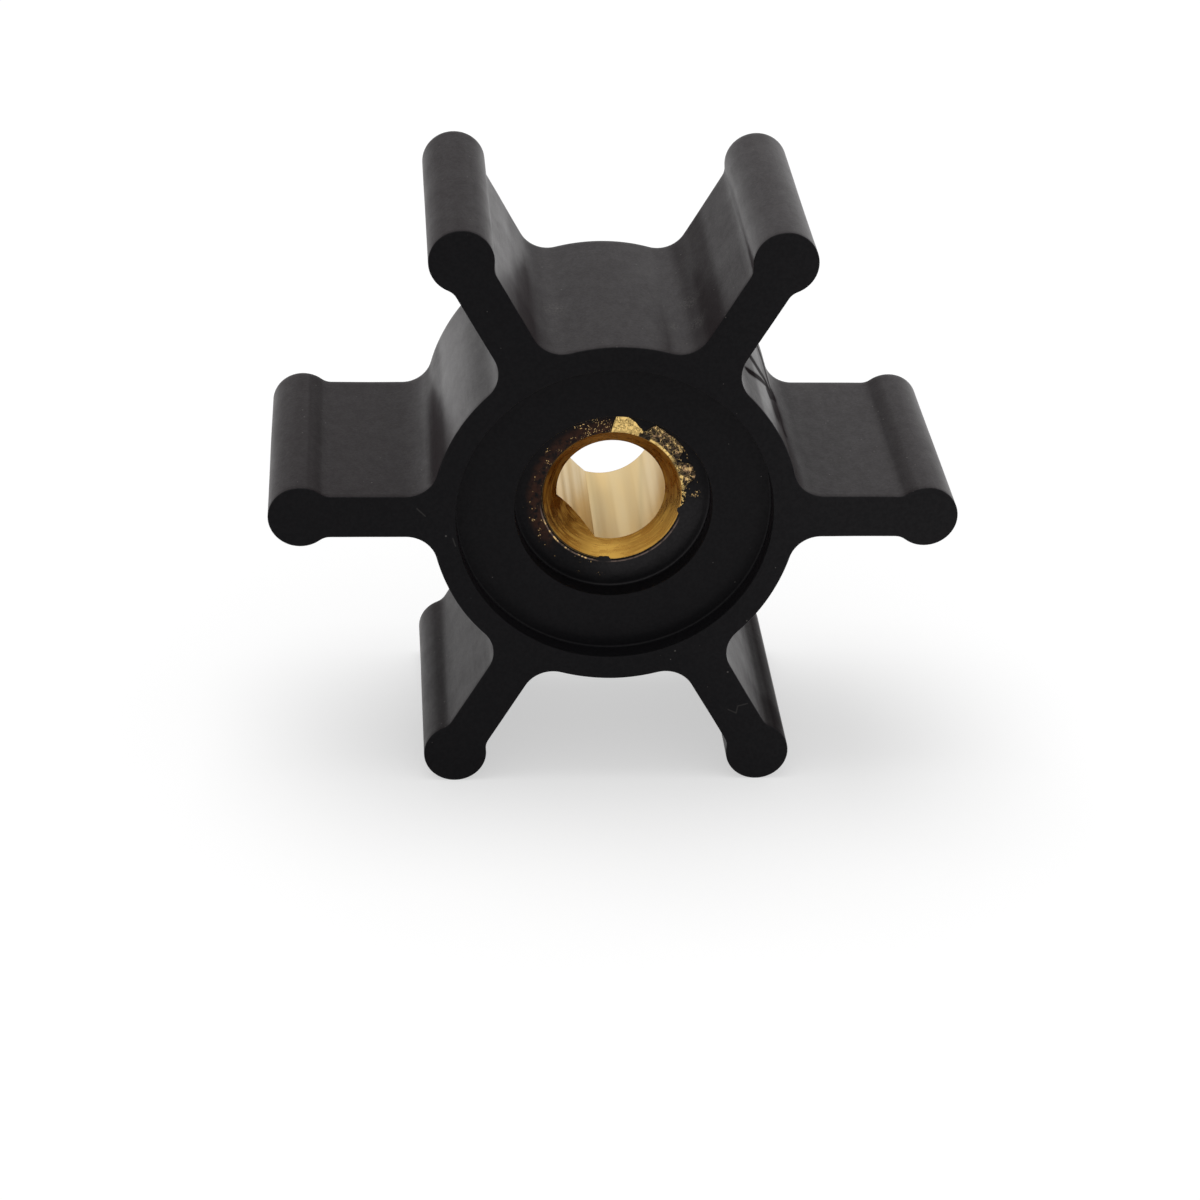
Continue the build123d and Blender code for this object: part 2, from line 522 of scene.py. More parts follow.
    def veins(self, spacing, half_width, shift):
        """A net of wandering lines with this spacing: 1 on them, 0 beyond half_width."""
        place = self.scaled_place(spacing, [shift] * 3)
        inputs = {"Vector": place, "Scale": VEIN_WANDER, "Detail": 2.0}
        wander = self.add("ShaderNodeTexNoise", inputs).outputs["Color"]
        inputs = {"Vector": self.vector("ADD", wander, place), "Scale": 1.0}
        net = self.add("ShaderNodeTexVoronoi", inputs, feature="DISTANCE_TO_EDGE")
        return self.fade(net.outputs["Distance"], half_width / spacing)

    def column(self, x, z, reach):
        """1 on a line along the shaft's direction through (x, z), 0 from reach outwards."""
        middle = Vector((x, 0, z)) * MM
        return self.fade(self.vector("DISTANCE", self.flat_place, middle), reach * MM)

    def spot(self, middle, reach):
        """1 close to a point of the surface, 0 from reach outwards."""
        away = self.vector("DISTANCE", self.place, Vector(middle) * MM)
        return self.fade(away, reach * MM, SPOT_CORE)

    def stroke(self, start, end, half_width, wider=1.0):
        """1 along a straight mark, which can be several times wider along the shaft."""
        squash = Vector((1, 1 / wider, 1))
        start, end = Vector(start) * MM * squash, Vector(end) * MM * squash
        along = end - start
        from_start = self.vector("SUBTRACT", self.vector("MULTIPLY", self.place, squash), start)
        share = self.vector("DOT_PRODUCT", from_start, along / along.length_squared)
        share = self.math("MINIMUM", self.larger(share, 0.0), 1.0)
        away = self.vector("DISTANCE", from_start, self.vector("MULTIPLY", along, share))
        return self.fade(away, half_width * MM)

    def path(self, points, half_width, wider=1.0):
        """1 along a mark that bends at each of these points."""
        strokes = [self.stroke(a, b, half_width, wider) for a, b in zip(points, points[1:])]
        return self.larger(*strokes)

    def mix(self, share, start, end):
        """The start colour where share is 0, and the end colour where it is 1."""
        inputs = {MIX_SHARE: share, MIX_FROM: start, MIX_TO: end}
        return self.add("ShaderNodeMix", inputs, data_type="RGBA").outputs[MIX_RESULT]

    def bump(self, height, distance, normal=None):
        """A normal that shows this relief, on top of another bump's normal if there is one."""
        node = self.add("ShaderNodeBump", {"Height": height, "Distance": distance})
        if normal is not None:
            self.feed(node.inputs["Normal"], normal)
        return node.outputs["Normal"]


# ------------------------------------------------------------------ colours
RUBBER = (0.0135, 0.0103, 0.0112)
# painted shade: the end faces and their recesses get this darker colour than the sides
RUBBER_ENDS_SHADED = (0.0058, 0.0058, 0.0066)
RUBBER_SCUFFED = (0.030, 0.028, 0.028)
RUBBER_STAINED = (0.066, 0.027, 0.016)
RUBBER_DUST = (0.16, 0.15, 0.14)
# painted highlight along the lip of the film's edge
RUBBER_LIP_HIGHLIGHT = (0.23, 0.165, 0.14)
RUBBER_GLOSS = 0.088        # plain specular level of the sides; other places have a share of it
RUBBER_GLOSS_TINT = (1.0, 0.94, 0.96)
RUBBER_BLOOM = 0.008        # faint sheen of the rubber's skin
RUBBER_BLOOM_TINT = (1.0, 0.50, 0.60)
RUBBER_BLOOM_ROUGH = 0.4
RUBBER_ROUGH = (0.29, 0.33)     # from one patch to the next
STREAK_ROUGH, END_ROUGH, SCUFF_ROUGH, RECESS_ROUGH = 0.05, 0.1, 0.1, -0.08  # what each adds
GRAIN_RELIEF, STREAK_RELIEF = 0.005 * MM, 0.006 * MM
RECESS_GRAIN = 0.3          # share of the grain's relief that the recesses have
BRASS_BORE = (0.68, 0.52, 0.27)
BRASS_FACE = (0.84, 0.58, 0.21)
BRASS_CONE = (0.37, 0.190, 0.054)
BRASS_CONE_DARK = (0.20, 0.093, 0.024)
# BRASS_CONE_WARM is painted shade on the countersink's lower part; BRASS_CONE_BRIGHT is its painted
# highlight, shared with its worn patches
BRASS_CONE_WARM = (0.25, 0.108, 0.017)
BRASS_CONE_BRIGHT = (0.65, 0.38, 0.08)
BRASS_DULL = (0.36, 0.30, 0.15)
BRASS_PITTED = (0.15, 0.105, 0.062)
BRASS_VEIN = (0.78, 0.53, 0.22)
BRASS_VEIN_DIM = (0.38, 0.24, 0.13)
BRASS_SPECK = (0.78, 0.52, 0.22)
BRASS_GLOSS = 0.08
BRASS_ROUGH = (0.22, 0.38)      # from one blotch to the next
BORE_ROUGH = 0.14           # what the bore adds to it
TURNING_RELIEF, REAMING_RELIEF, VEIN_RELIEF = 0.008 * MM, 0.001 * MM, 0.04 * MM
# dark colour of the residue crust on the bush's end face, and of the painted shadow just inside its
# mouth
RESIDUE_AND_GAP_SHADOW = (0.012, 0.0095, 0.0085)

# ------------------------------------------------------------------ marks on the rubber
# Places, reaches and half widths are in millimetres.
FRONT = -HALF_WIDTH / MM
RUBS = {(-4.4, -1.9, 12.7): 1.6, (3.9, -5.0, 12.7): 1.0, (5.8, -1.7, 13.4): 1.6, (5.9, -5.9, 13.5): 1.3}
CRUMBS = {
    (8.8, FRONT, -12.8): 0.10,
    (10.0, FRONT, -8.5): 0.08,
    (12.6, FRONT, -4.8): 0.08,
    (4.8, FRONT, -11.0): 0.09,
    (-12.2, FRONT, -1.5): 0.10,
    (-10.9, -9.9, -4.0): 0.08,
}
SCRATCHES = [
    [(-14.3, FRONT, 0.7), (-13.7, FRONT, 0.1)],
    [(-11.7, FRONT, -1.7), (-11.5, FRONT, -2.3)],
    [(9.0, FRONT, -16.0), (9.6, FRONT, -16.3), (9.7, FRONT, -15.7), (10.4, FRONT, -15.5)],
]
SCRATCH_HALF = 0.07
# How much of the dust's colour each kind of mark has, and how much of the scuffs' colour the
# sides and the ends take on.
DUST_PALE, LINT_PALE, CRUMB_PALE, SCRATCH_PALE, RUB_PALE = 0.7, 0.5, 0.6, 0.18, 0.16
SIDE_SCUFFED, END_SCUFFED = 0.7, 0.1
SCUFF_SHARE = 0.5           # strength of the scattered scuffs, against the rubs

# Shallow creases of the skin, which dull it only where it is seen almost edge on. Each has half
# its width, how many times wider it is along the shaft, the share of the gloss that it takes
# away, and its course.
CREASES = [
    (0.66, 1.2, 0.996, [(9.8, -4.4, 9.0), (10.5, -3.4, 8.2), (11.3, -2.0, 7.1), (11.9, -1.0, 5.9)]),
    (0.80, 2.4, 0.985, [(11.65, -2.6, 6.4), (12.5, 1.0, 4.6), (13.1, 4.6, 3.0)]),
    (0.80, 4.0, 0.92, [(11.9, -4.4, 5.9), (12.6, -1.5, 4.4), (13.12, 1.6, 2.85)]),
    (0.50, 1.5, 0.92, [(13.12, 0.0, 2.85), (13.2, -1.6, 2.65)]),
    (0.85, 1.7, 0.994, [(10.6, 0.0, 8.0), (11.1, -0.4, 7.3), (11.8, -0.4, 6.2)]),
    (0.85, 1.7, 0.985, [(12.0, 7.0, 5.7), (12.2, 5.2, 5.4), (12.2, 2.0, 5.4), (12.2, 0.8, 5.3)]),
]
EDGE_ON = (0.58, 0.80)      # from where to where the creases come in, as the view turns edge on

# How the shine of the rubber's sides differs from place to place: x and z of the middle of each
# stretch, its reach, and its shine as a share of the plain one.
SHINE = {
    "left of the hub": (-12.2, 5.6, 4.6, 2.3),
    "right of the hub": (11.2, 7.1, 5.0, 0.50),
    "upper left vane, inner side": (-7.7, 16.5, 4.5, 1.6),
    "upper right vane, inner side": (7.5, 16.3, 4.0, 0.39),
    "upper left tip": (-12.3, 21.3, 4.5, 0.43),
    "upper left tip, left side": (-13.3, 21.0, 1.7, 0.66),
    "upper left tip, right side": (-9.6, 21.1, 1.4, 0.76),
    "left vane": (-20.5, 0.5, 9.0, 0.60),
    "left tip": (-24.6, 0.6, 2.2, 0.72),
    "lower left vane": (-10.0, -13.0, 5.0, 0.80),
    "lower left tip": (-11.3, -19.6, 4.5, 0.64),
    "lower right vane": (10.5, -15.0, 3.2, 0.80),
    "lower right tip": (12.2, -18.9, 3.6, 0.42),
    "lower right tip, outer side": (13.2, -17.9, 1.1, 0.16),
    "right vane": (20.5, 0.5, 9.0, 1.22),
    "right tip": (24.4, 1.0, 2.2, 0.80),
    "top of the hub": (0.0, 13.3, 6.0, 0.82),
    "root of the left vane": (-12.8, 3.8, 2.2, 0.25),
    "root of the upper left vane": (-6.3, 14.2, 2.9, 0.36),
    "root of the upper right vane": (6.5, 14.2, 2.7, 0.24),
    "root of the right vane": (13.5, 2.3, 1.9, 0.55),
    "neck of the left vane": (-21.7, 2.0, 0.8, 0.55),
    "neck of the right vane": (21.5, 1.9, 0.8, 0.70),
    "beside the crease": (11.05, 7.4, 1.3, 5.0),
}
# The same for round stretches, whose middle has x, y and z.
SHINE_SPOTS = {
    "front of the upper left vane's root": (-7.1, -8.5, 15.6, 5.0, 0.50),
    "front of the lower right vane": (11.6, -8.0, -16.9, 4.0, 0.40),
    "front of the hub's right side": (12.3, -8.0, 5.0, 2.5, 2.6),
}
NECK_BAND = (21.0 * MM, 21.8 * MM, 0.3 * MM)    # low, high and softness, as a radius
NECK_DULL = 0.38
FILM_SHINE = 2.2            # shine of the film's lit side, against the plain one
END_SHINE = (0.88, 1.30)    # shine of the ends, from the left to the right
END_SHINE_REACH = (2 * MM, 20 * MM)     # the x between which it changes

# ------------------------------------------------------------------ marks round the shaft
# Stretches about the shaft, in degrees from +X towards +Z: the middle, half the width, and the
# softness of the ends.
STAINED_SIDE = (155, 62, 12)
BESIDE_WEDGE = (104, 14, 5)
BESIDE_PATCH = (24, 26, 4)
FLECKED_SIDE = (178, 85, 5)
# where the film's lip gets a painted highlight, at the lower left and the lower right
LIP_HIGHLIGHT_LEFT = (-135, 34, 6)
LIP_HIGHLIGHT_RIGHT = (-56, 34, 6)
BRIGHT_LIP = (-132, 27, 5)
LIT_FILM = (-50, 52, 22)
# LIT_BOTTOM and LIT_RIGHT are where the countersink gets its painted highlight, WARM_BOTTOM where it
# gets painted shade
LIT_BOTTOM = (-93, 21, 20)
LIT_RIGHT = (-45, 62, 25)
WARM_BOTTOM = (-90, 75, 25)
DARK_LEFT = (178, 30, 22)
# where a painted shadow lies just inside the countersink's mouth, on the left
SHADOWED_LIP = (195, 72, 12)
BORE_BESIDE_FLAT = (-100, 2, 8)
BORE_ACROSS = (-46, 2, 6)
BORE_LEAN = math.radians(1.5) / MM      # how that band leans along the shaft
BARE_WEDGE = (81, 13, 0.5)
CLEAN_WEDGE = (82, 16, 1)
DARK_ISLAND = (65, 5, 0.6)
BOTH_PATCHES = (37, 31, 1)
PITTED_SIDE = (40, 30, 3)
LOWER_PATCH = (16, 13, 4)
GOLD_BORDER = (47, 18, 3)
RIM_LINE = (47, 14, 2)
BARE_SLIVER = (0, 9, 1)

STAIN_SHARE = 0.75          # strength of the stain on its side, against that beside the wedge
WEDGE_CROWD, PATCH_CROWD = 0.17, 0.08   # how much they add to the flecks' noise, to crowd them
LOWER_LUMPS = 0.07          # the same for the lumps in the lower patch
# RIGHT_LIT is the strength of the countersink's painted highlight on its right side, CONE_WORN that of
# its bright worn patches
RIGHT_LIT, CONE_WORN = 0.34, 0.6        # brightness of the countersink, against its bottom
# GAP_SHADOW_SHARE is the strength of the painted shadow just inside the countersink's mouth
GAP_SHADOW_SHARE, DULL_SHARE, LUMP_SHARE = 0.9, 0.32, 0.9

# Bands of radius: low, high and the softness of both edges.
STAIN_BAND = (4.9 * MM, 6.15 * MM, 0.35 * MM)
FLECK_BAND = (5.0 * MM, 6.45 * MM, 0.15 * MM)
LIP_BAND = (5.24 * MM, 5.33 * MM, 0.03 * MM)
BORDER_BAND = (6.14 * MM, 6.36 * MM, 0.05 * MM)

# Soft edges of the zones: from where to where each one comes in or fades out.
FLANK_EDGE = (HUB_RADIUS - 0.3 * MM, HUB_RADIUS)
END_FACE_EDGE = (HALF_WIDTH - 0.12 * MM, HALF_WIDTH - 0.04 * MM)
RECESS_EDGE = (RECESS_FLOOR, RECESS_FLOOR + 0.2 * MM)
FILM_FACE = (-POCKET_FLOOR - 0.3 * MM, -POCKET_FLOOR - 0.1 * MM)
FILM_BACK = (-BUSH_END + 0.1 * MM, -BUSH_END + 0.3 * MM)
POCKET_EDGE = (POCKET_RADIUS, POCKET_RADIUS + 0.1 * MM)
BUSH_FACE_EDGE = (BUSH_END - 0.05 * MM, BUSH_END - 0.02 * MM)
CONE_LINE = BUSH_END - MOUTH_RADIUS     # height minus radius, all over a countersink
CONE_EDGE = (CONE_LINE - 0.05 * MM, CONE_LINE - 0.02 * MM)
CONE_FOOT = (BORE_RADIUS, BORE_RADIUS + 0.5 * MM)
BORE_EDGE = (BORE_RADIUS + 0.01 * MM, BORE_RADIUS + 0.05 * MM)
INSIDE_MOUTH = (MOUTH_RADIUS - 0.11 * MM, MOUTH_RADIUS - 0.06 * MM)
BARE_RIM = (5.30 * MM, 5.38 * MM)
CLEAN_RIM = (5.34 * MM, 5.42 * MM)
ISLAND_EDGE = (5.42 * MM, 5.50 * MM)


# ------------------------------------------------------------------ black rubber
def rubber_zones(s):
    """The sides, the recesses and the film on the front: each is 1 in its place, 0 elsewhere."""
    flank = s.rise(s.radius, *FLANK_EDGE)
    side = s.times(flank, s.without(s.rise(s.height, *END_FACE_EDGE)))
    recess = s.times(s.fall(s.height, *RECESS_EDGE), s.without(flank))
    film = s.times(s.rise(s.y, *FILM_FACE), s.fall(s.y, *FILM_BACK))
    return side, recess, s.times(film, s.fall(s.radius, *POCKET_EDGE))


def rubber_marks(s, side, streaks, patches):
    """How pale the rubber is from dust, lint, crumbs, scratches and rubs, and how scuffed."""
    dusty = s.rise(s.noise(size=2.6 * MM, detail=1, shift=9), 0.50, 0.60)
    dust = s.times(s.specks(spacing=1.1 * MM, radius=0.055 * MM, shift=3), dusty)
    linty = s.rise(s.noise(size=2.2 * MM, detail=1, shift=12), 0.46, 0.56)
    lint = s.times(s.specks(spacing=0.9 * MM, radius=0.075 * MM, shift=5), linty)
    pale = s.larger(s.times(dust, DUST_PALE), s.times(lint, side, LINT_PALE))
    for points in SCRATCHES:
        pale = s.larger(pale, s.times(s.path(points, SCRATCH_HALF), SCRATCH_PALE))
    for place, reach in CRUMBS.items():
        pale = s.larger(pale, s.times(s.spot(place, reach), CRUMB_PALE))
    scuffs = s.times(s.rise(patches, 0.58, 0.74), s.rise(streaks, 0.50, 0.62), SCUFF_SHARE)
    speckle = s.rise(s.noise(size=0.16 * MM, roughness=0.6, shift=3), 0.47, 0.62)
    for place, reach in RUBS.items():
        rub = s.times(s.spot(place, reach), speckle)
        scuffs = s.larger(scuffs, rub)
        pale = s.larger(pale, s.times(rub, RUB_PALE))
    return pale, scuffs


def film_colour(s, film, colour):
    """Adds the film's brown stain and brass flecks, and a painted highlight along the lip of its edge;
    the flecks come back as well.
    """
    blotches = s.noise(size=0.40 * MM, detail=3, roughness=0.6, shift=2)
    beside_wedge = s.near_angle(*BESIDE_WEDGE)
    beside_patch = s.near_angle(*BESIDE_PATCH)
    stained = s.larger(s.times(s.near_angle(*STAINED_SIDE), STAIN_SHARE), beside_wedge)
    stain = s.times(film, stained, s.band(s.radius, *STAIN_BAND), s.rise(blotches, 0.30, 0.6))
    colour = s.mix(stain, colour, RUBBER_STAINED)

    crowd = s.plus(s.times(beside_wedge, WEDGE_CROWD), s.times(beside_patch, PATCH_CROWD))
    crowded = s.rise(s.plus(s.noise(size=0.5 * MM, shift=7), crowd), 0.60, 0.66)
    dots = s.times(s.specks(spacing=0.12 * MM, radius=0.046 * MM, shift=4), crowded)
    flecked = s.larger(s.near_angle(*FLECKED_SIDE), beside_patch)
    flecks = s.times(film, s.band(s.radius, *FLECK_BAND), flecked, dots)
    # painted highlight along the lip of the film's edge
    lip_highlight = s.larger(s.near_angle(*LIP_HIGHLIGHT_LEFT), s.near_angle(*LIP_HIGHLIGHT_RIGHT))
    lip_highlight = s.times(s.band(s.radius, *LIP_BAND), film, lip_highlight)
    glints = s.rise(s.noise(size=0.20 * MM, shift=4), 0.46, 0.56)
    flecks = s.larger(flecks, s.times(lip_highlight, s.near_angle(*BRIGHT_LIP), glints))
    colour = s.mix(s.times(lip_highlight, s.rise(blotches, 0.3, 0.55, start=0.35)), colour, RUBBER_LIP_HIGHLIGHT)
    return s.mix(flecks, colour, BRASS_SPECK), flecks


def rubber_gloss(s, side, film):
    """The specular level at each place, as a share of the plain one."""
    mottle = s.noise(size=0.75 * MM, detail=4, roughness=0.62, stretch=(1, 0.6, 1), shift=14)
    at_neck = s.times(s.band(s.radius, *NECK_BAND), NECK_DULL)
    gloss = s.times(s.rise(mottle, 0.34, 0.66, start=0.88, end=1.12), s.without(at_neck))
    for x, z, reach, share in SHINE.values():
        gloss = s.times(gloss, s.where(s.column(x, z, reach), share))
    for *middle, reach, share in SHINE_SPOTS.values():
        gloss = s.times(gloss, s.where(s.spot(middle, reach), share))
    gloss = s.where(side, gloss, s.rise(s.x, *END_SHINE_REACH, *END_SHINE))
    fine = s.noise(size=0.22 * MM, detail=3, roughness=0.6, shift=17)
    gloss = s.times(gloss, s.rise(fine, 0.35, 0.65, start=0.86, end=1.14))
    gloss = s.times(gloss, s.where(s.times(film, s.near_angle(*LIT_FILM)), FILM_SHINE))
    crease = 0.0
    for half_width, wider, depth, points in CREASES:
        crease = s.larger(crease, s.times(s.path(points, half_width, wider), depth))
    facing = s.add("ShaderNodeLayerWeight", {"Blend": 0.5}).outputs["Facing"]
    return s.times(gloss, s.without(s.times(crease, s.rise(facing, *EDGE_ON))))


def rubber_material():
    s = Shader("black_rubber")
    side, recess, film = rubber_zones(s)
    streaks = s.noise(size=0.30 * MM, detail=3, roughness=0.6, stretch=(1, 0.05, 1))
    patches = s.noise(size=3.2 * MM, shift=5)
    grain = s.noise(size=0.09 * MM, roughness=0.6)
    pale, scuffs = rubber_marks(s, side, streaks, patches)
    # painted shade: the end faces and their recesses are darker than the sides
    colour = s.mix(side, RUBBER_ENDS_SHADED, RUBBER)
    colour = s.mix(s.times(scuffs, s.where(side, SIDE_SCUFFED, END_SCUFFED)), colour, RUBBER_SCUFFED)
    colour = s.mix(pale, colour, RUBBER_DUST)
    colour, flecks = film_colour(s, film, colour)
    rough = s.plus(s.rise(patches, 0.3, 0.7, *RUBBER_ROUGH), s.times(streaks, STREAK_ROUGH))
    rough = s.plus(rough, s.where(side, 0, END_ROUGH))
    rough = s.plus(rough, s.times(scuffs, SCUFF_ROUGH), s.times(recess, RECESS_ROUGH))
    relief = s.bump(s.times(grain, s.where(recess, RECESS_GRAIN)), GRAIN_RELIEF)
    relief = s.bump(s.times(streaks, side), STREAK_RELIEF, relief)
    s.feed(s.surface["Base Color"], colour)
    s.feed(s.surface["Metallic"], flecks)
    s.feed(s.surface["Roughness"], rough)
    s.feed(s.surface["Specular IOR Level"], s.times(rubber_gloss(s, side, film), RUBBER_GLOSS))
    s.feed(s.surface["Specular Tint"], RUBBER_GLOSS_TINT)
    s.feed(s.surface["Sheen Weight"], RUBBER_BLOOM)
    s.feed(s.surface["Sheen Tint"], RUBBER_BLOOM_TINT)
    s.feed(s.surface["Sheen Roughness"], RUBBER_BLOOM_ROUGH)
    s.feed(s.surface["Normal"], relief)
    return s.material


# ------------------------------------------------------------------ turned brass
def brass_zones(s):
    """The end faces, the countersinks and the bore: each is 1 in its place, 0 elsewhere."""
    end_face = s.rise(s.height, *BUSH_FACE_EDGE)
    below_cone = s.fall(s.math("SUBTRACT", s.height, s.radius), *CONE_EDGE)
    bore = s.times(below_cone, s.fall(s.radius, *BORE_EDGE))
    cone = s.math("SUBTRACT", s.without(bore), end_face)
    return end_face, cone, bore


def cone_colour(s, turning, blotches):
    """The countersink's colour: a painted highlight on its bottom and right side, a darker, warmer
    painted shade on its lower part, and a painted shadow in a thin band just inside its mouth on the
    left, whose mask comes back as well.
    """
    # painted highlight on the bottom and the right side, uneven and fading towards the bore
    lit = s.larger(s.near_angle(*LIT_BOTTOM), s.times(s.near_angle(*LIT_RIGHT), RIGHT_LIT))
    uneven = s.plus(blotches, s.times(turning, 0.4))
    lit = s.times(lit, s.rise(uneven, 0.45, 0.80, start=0.35), s.rise(s.radius, *CONE_FOOT, start=0.3))
    worn = s.rise(s.plus(turning, s.times(blotches, 0.8)), 0.84, 1.08)
    # painted shade: a darker, warmer colour on the lower part
    colour = s.mix(s.near_angle(*WARM_BOTTOM), BRASS_CONE, BRASS_CONE_WARM)
    colour = s.mix(s.near_angle(*DARK_LEFT), colour, BRASS_CONE_DARK)
    # the painted highlight, and the bright worn patches
    colour = s.mix(s.larger(lit, s.times(worn, CONE_WORN)), colour, BRASS_CONE_BRIGHT)
    # painted shadow of the gap under the film's edge, in a thin band just inside the mouth on the left
    gap_shadow = s.times(s.near_angle(*SHADOWED_LIP), s.rise(s.radius, *INSIDE_MOUTH))
    return s.mix(s.times(gap_shadow, GAP_SHADOW_SHARE), colour, RESIDUE_AND_GAP_SHADOW), gap_shadow


def bore_colour(s):
    """Pale brass with two dull bands, one beside the flat and one that leans across the bore."""
    shine = s.noise(size=1.5 * MM, detail=1, stretch=(1, 0.15, 1), shift=2)
    colour = s.mix(s.times(s.rise(shine, 0.3, 0.7), 0.3), BRASS_BORE, BRASS_FACE)
    across = s.near_angle(*BORE_ACROSS, lean=s.times(s.y, -BORE_LEAN))
    dull = s.times(s.larger(s.near_angle(*BORE_BESIDE_FLAT), across), DULL_SHARE)
    return s.mix(dull, colour, BRASS_DULL)


def face_colour(s):
    """Bright brass on the wedge and the rim line, and dimmer brass along the veins."""
    clean = s.larger(s.near_angle(*CLEAN_WEDGE), s.fall(s.radius, *CLEAN_RIM))
    bright_vein = s.rise(s.noise(size=0.30 * MM, shift=11), 0.40, 0.60)
    return s.mix(clean, s.mix(bright_vein, BRASS_VEIN_DIM, BRASS_VEIN), BRASS_FACE)


def face_marks(s):
    """Where the bush's end face is bare metal, its raised veins, and its brown pitted crust."""
    pits = s.noise(size=0.15 * MM, detail=3, roughness=0.7, shift=6)
    crust = s.noise(size=0.42 * MM, detail=4, roughness=0.62, shift=8)
    veins = s.veins(spacing=0.50 * MM, half_width=0.034 * MM, shift=2)
    veins = s.times(veins, s.rise(pits, 0.34, 0.54, start=0.25))
    fine_veins = s.veins(spacing=0.24 * MM, half_width=0.017 * MM, shift=5)
    fine_veins = s.times(fine_veins, s.rise(crust, 0.42, 0.58, end=0.6))
    more_in_lower = s.times(s.near_angle(*LOWER_PATCH), LOWER_LUMPS)
    lumps = s.times(s.rise(s.plus(crust, more_in_lower), 0.60, 0.65), LUMP_SHARE)
    border = s.times(s.band(s.radius, *BORDER_BAND), s.near_angle(*GOLD_BORDER))
    border = s.times(border, s.rise(pits, 0.42, 0.54, end=0.9))
    veins = s.larger(veins, fine_veins, lumps, border)

    wedge = s.times(s.near_angle(*BARE_WEDGE), s.fall(pits, 0.62, 0.66))
    rim_line = s.times(s.near_angle(*RIM_LINE), s.fall(s.radius, *BARE_RIM))
    patch = s.times(s.near_angle(*BOTH_PATCHES), veins)
    sliver = s.times(s.near_angle(*BARE_SLIVER), s.fall(pits, 0.42, 0.49))
    island = s.times(s.near_angle(*DARK_ISLAND), s.fall(s.radius, *ISLAND_EDGE))
    bare = s.times(s.larger(wedge, rim_line, patch, sliver), s.without(island))
    pitted = s.times(s.rise(pits, 0.40, 0.58, start=1, end=0.1), s.rise(crust, 0.3, 0.5, start=0.3))
    return bare, veins, s.times(s.near_angle(*PITTED_SIDE), pitted)


def brass_material():
    s = Shader("turned_brass")
    end_face, cone, bore = brass_zones(s)
    turning = s.turned(across=0.05 * MM, along=2.5 * MM)
    blotches = s.turned(across=0.35 * MM, along=1.1 * MM, detail=4, shift=3)
    reaming = s.noise(size=0.07 * MM, stretch=(0.05, 1, 0.05))
    bare, veins, pitted = face_marks(s)
    cone_look, gap_shadow = cone_colour(s, turning, blotches)
    colour = s.mix(bore, s.mix(end_face, cone_look, face_colour(s)), bore_colour(s))
    crusted = s.times(end_face, s.without(bare))
    colour = s.mix(crusted, colour, s.mix(pitted, RESIDUE_AND_GAP_SHADOW, BRASS_PITTED))
    rough = s.plus(s.rise(blotches, 0.3, 0.7, *BRASS_ROUGH), s.times(bore, BORE_ROUGH))
    relief = s.bump(s.times(turning, cone), TURNING_RELIEF)
    relief = s.bump(s.times(reaming, bore), REAMING_RELIEF, relief)
    relief = s.bump(s.times(veins, end_face), VEIN_RELIEF, relief)
    s.feed(s.surface["Base Color"], colour)
    # the residue crust and the painted shadow inside the mouth are not metal
    s.feed(s.surface["Metallic"], s.without(s.larger(crusted, s.times(gap_shadow, cone))))
    s.feed(s.surface["Roughness"], rough)
    s.feed(s.surface["Specular IOR Level"], BRASS_GLOSS)
    s.feed(s.surface["Normal"], relief)
    return s.material


# ------------------------------------------------------------------ the object
rubber_body = make_rubber_body()
rubber_body.data.materials.append(rubber_material())
brass_bush = make_brass_bush()
brass_bush.data.materials.append(brass_material())

for piece, node, finish in (
    (rubber_body, "impeller_body", "black_rubber"),
    (brass_bush, "shaft_bush", "turned_brass"),
):
    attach(piece, "root")
    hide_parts(node)

# ------------------------------------------------------------------ floor, light and camera
FLOOR_HALF = 2.0
FLOOR_COLOUR = (0.50, 0.50, 0.50)
FLOOR_ROUGH = 0.8
FLOOR_LIFT = 0.54          # what the floor adds for the camera and for mirror rays, to read as white
WHITE = (1, 1, 1, 1)
AMBIENT = 0.55
KEY_STRENGTH = 1.4
KEY_ANGLE = math.radians(47)
KEY_FROM = (-0.10, 0.15, 0.80)
LENS = 99.3332             # millimetres, on the sensor's width
SENSOR_WIDTH = 36.0
NEAR_CLIP = 0.01
CAMERA_PLACE = (-0.018694, -0.224125, 0.105256)
CAMERA_TURN = (62.4272, -1.8004, -3.8188)      # degrees


def seen_ray(tree):
    """1 for the rays that show the background: camera, glossy and transmission rays."""
    path = tree.nodes.new("ShaderNodeLightPath")
    value = path.outputs["Is Camera Ray"]
    for name in ("Is Glossy Ray", "Is Transmission Ray"):
        larger = tree.nodes.new("ShaderNodeMath")
        larger.operation = "MAXIMUM"
        tree.links.new(value, larger.inputs[0])
        tree.links.new(path.outputs[name], larger.inputs[1])
        value = larger.outputs[0]
    return value


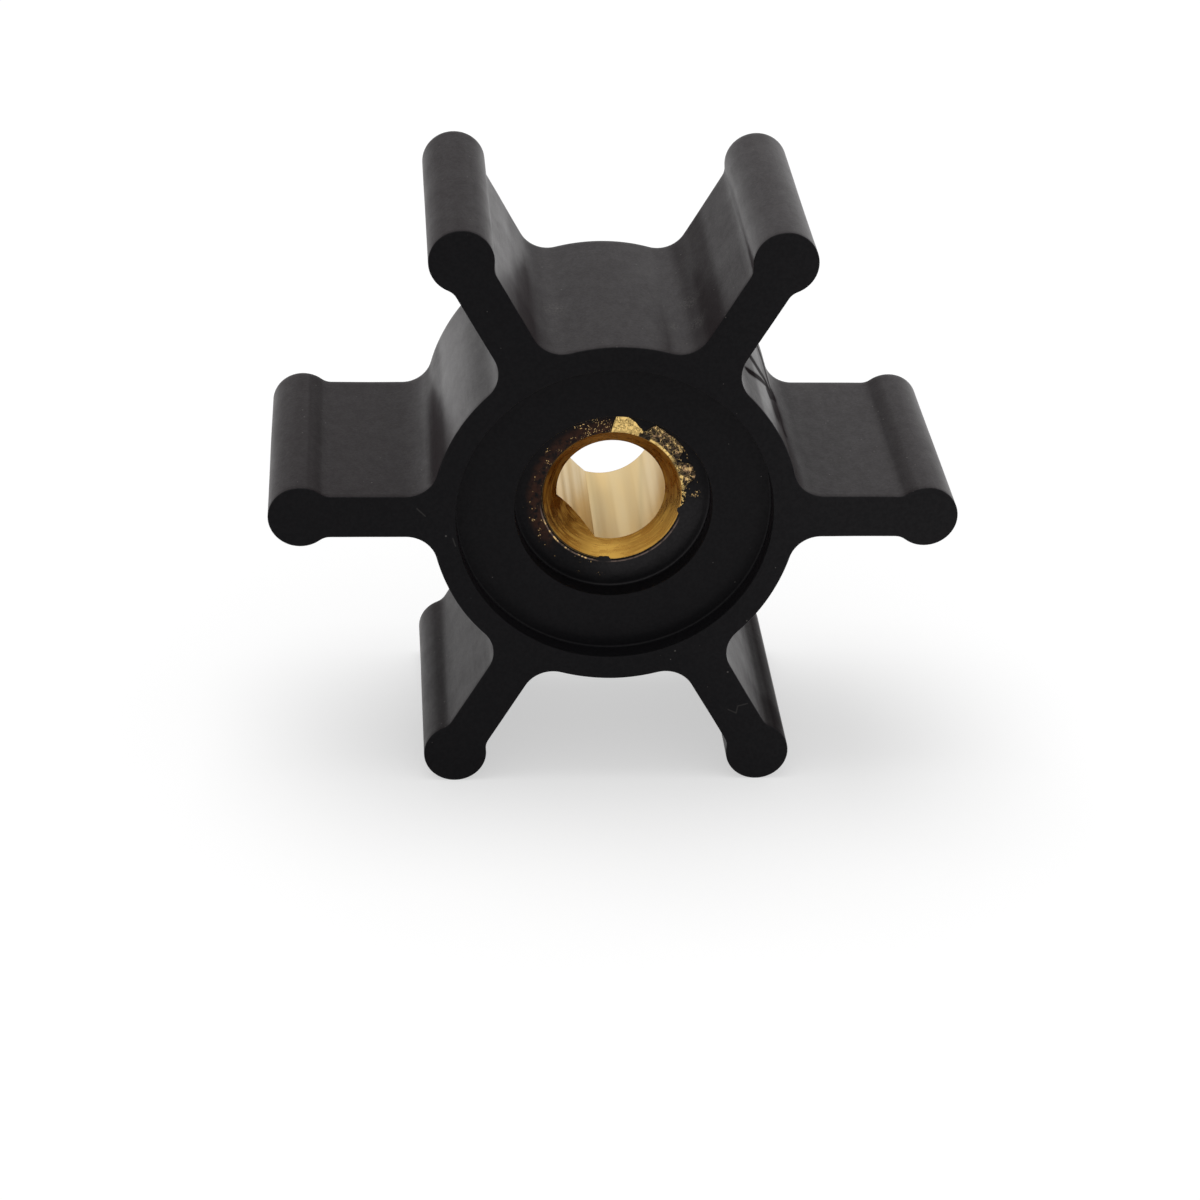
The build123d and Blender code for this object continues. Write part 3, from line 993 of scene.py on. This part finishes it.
def make_floor():
    mesh = bpy.data.meshes.new("floor")
    corners = [(-FLOOR_HALF, -FLOOR_HALF), (FLOOR_HALF, -FLOOR_HALF),
               (FLOOR_HALF, FLOOR_HALF), (-FLOOR_HALF, FLOOR_HALF)]
    mesh.from_pydata([(x, y, cad_low[2]) for x, y in corners], [], [(0, 1, 2, 3)])
    floor = bpy.data.objects.new("floor", mesh)
    bpy.context.scene.collection.objects.link(floor)
    paint = bpy.data.materials.new("floor_white")
    paint.use_nodes = True
    tree = paint.node_tree
    surface = tree.nodes["Principled BSDF"].inputs
    surface["Base Color"].default_value = (*FLOOR_COLOUR, 1)
    surface["Roughness"].default_value = FLOOR_ROUGH
    surface["Specular IOR Level"].default_value = 0.0
    surface["Emission Color"].default_value = WHITE
    lift = tree.nodes.new("ShaderNodeMath")
    lift.operation = "MULTIPLY"
    lift.inputs[1].default_value = FLOOR_LIFT
    tree.links.new(seen_ray(tree), lift.inputs[0])
    tree.links.new(lift.outputs[0], surface["Emission Strength"])
    mesh.materials.append(paint)


def make_world():
    """White all round: full strength where it is seen, and softer where it lights the part."""
    world = bpy.data.worlds.new("studio")
    bpy.context.scene.world = world
    world.use_nodes = True
    tree = world.node_tree
    strength = tree.nodes.new("ShaderNodeMapRange")
    strength.inputs["To Min"].default_value = AMBIENT
    strength.inputs["To Max"].default_value = 1.0
    tree.links.new(seen_ray(tree), strength.inputs["Value"])
    background = tree.nodes["Background"].inputs
    background["Color"].default_value = WHITE
    tree.links.new(strength.outputs["Result"], background["Strength"])


def make_key_light():
    """A wide soft light from above, a little behind and to the left."""
    lamp = bpy.data.lights.new("overhead", "SUN")
    lamp.energy = KEY_STRENGTH
    lamp.angle = KEY_ANGLE
    holder = bpy.data.objects.new("overhead", lamp)
    holder.rotation_euler = Vector(KEY_FROM).to_track_quat("Z", "Y").to_euler()
    bpy.context.scene.collection.objects.link(holder)


def make_camera():
    lens = bpy.data.cameras.new("camera")
    lens.lens = LENS
    lens.sensor_width = SENSOR_WIDTH
    lens.clip_start = NEAR_CLIP
    camera = bpy.data.objects.new("camera", lens)
    camera.location = CAMERA_PLACE
    camera.rotation_euler = Euler([math.radians(a) for a in CAMERA_TURN], "XYZ")
    bpy.context.scene.collection.objects.link(camera)
    bpy.context.scene.camera = camera


make_floor()
make_world()
make_key_light()
make_camera()
bpy.context.scene.view_settings.view_transform = "Standard"
